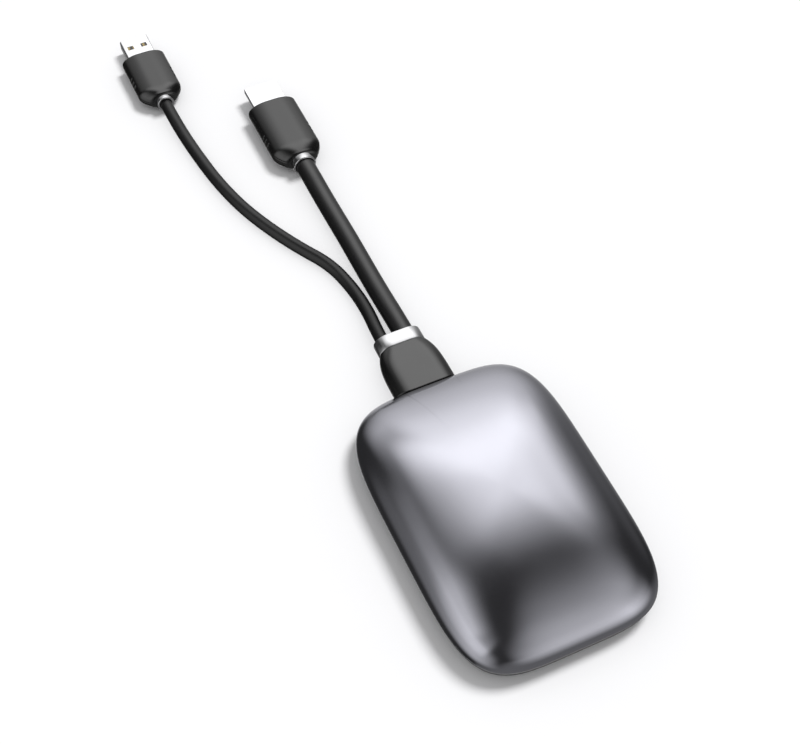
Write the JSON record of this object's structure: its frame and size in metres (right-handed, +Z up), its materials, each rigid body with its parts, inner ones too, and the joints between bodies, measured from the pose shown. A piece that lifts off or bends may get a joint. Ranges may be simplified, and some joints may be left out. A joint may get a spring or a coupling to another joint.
{
  "type": "wireless presentation button",
  "caption": "Palm-sized presentation transmitter with a floating metallic press cover on a dark base, and short video and data leads from one strain relief.",
  "frame": {"origin": "on the table under the middle of the casing", "axes": "+Z up from the table through the press cover, +Y along the casing towards the end where the leads leave, +X to the right"},
  "size_m": [0.0837, 0.3302, 0.022],
  "materials": {
    "cover_lacquer": "gunmetal metallic lacquer, gloss",
    "base_plastic": "fine moulded texture, dark grey",
    "ring_smoke": "smoked light guide",
    "foot_rubber": "matte",
    "lid_plastic": "moulded black",
    "screw_steel": "zinc plated",
    "spring_steel": "bright wire",
    "switch_plastic": "moulded",
    "plunger_plastic": "moulded",
    "board_laminate": "solder mask, green",
    "chip_black": "epoxy",
    "pad_silicone": "soft silicone",
    "sink_aluminium": "extruded, bead blasted",
    "can_tin": "tin plated",
    "antenna_brass": "stamped sheet",
    "led_lens": "clear dome",
    "header_nylon": "natural nylon",
    "lead_jacket": "satin black jacket",
    "boot_rubber": "satin black, moulded",
    "collar_silver": "bright ring",
    "plug_mould": "satin black overmould",
    "shell_nickel": "nickel plated",
    "insulator": "moulded",
    "tongue_white": "moulded",
    "contact_gold": "gold plated"
  },
  "bodies": {
    "base": {"base_shell": "base_plastic", "rubber_feet": "foot_rubber", "light_ring": "ring_smoke", "inner_lid": "lid_plastic", "case_screws": "screw_steel", "return_springs": "spring_steel", "switch_body": "switch_plastic", "main_board": "board_laminate", "board_screws": "screw_steel", "processor_chip": "chip_black", "thermal_pad": "pad_silicone", "heat_sink": "sink_aluminium", "memory_chips": "chip_black", "radio_board": "board_laminate", "radio_shield": "can_tin", "antennas": "antenna_brass", "status_leds": "led_lens", "board_parts": "chip_black", "video_header": "header_nylon", "data_header": "header_nylon", "video_inner_lead": "lead_jacket", "data_inner_lead": "lead_jacket", "lead_clamp": "lid_plastic", "clamp_screws": "screw_steel", "lead_boot": "boot_rubber", "boot_collar": "collar_silver", "video_lead": "lead_jacket", "data_lead": "lead_jacket", "video_collar": "collar_silver", "data_collar": "collar_silver", "video_plug_body": "plug_mould", "video_plug_shell": "shell_nickel", "video_plug_insulator": "insulator", "video_plug_contacts": "contact_gold", "data_plug_body": "plug_mould", "data_plug_shell": "shell_nickel", "data_plug_tongue": "tongue_white", "data_plug_contacts": "contact_gold"},
    "cover": {"top_cover": "cover_lacquer", "shoulder_screws": "screw_steel"},
    "plunger": {"switch_plunger": "plunger_plastic"}
  },
  "joints": [
    {"name": "cover_press", "type": "slide", "parent": "base", "child": "cover", "axis": [0, 0, 1], "range_m": [-0.0006, 0], "stiffness_N_per_m": 1500, "springref_m": 0.001, "deforming": ["return_springs"]},
    {"name": "plunger_press", "type": "slide", "parent": "base", "child": "plunger", "axis": [0, 0, 1], "range_m": [-0.0006, 0]}
  ],
  "couplings": [
    {"joint": "plunger_press", "follows": "cover_press", "ratio": 1}
  ]
}
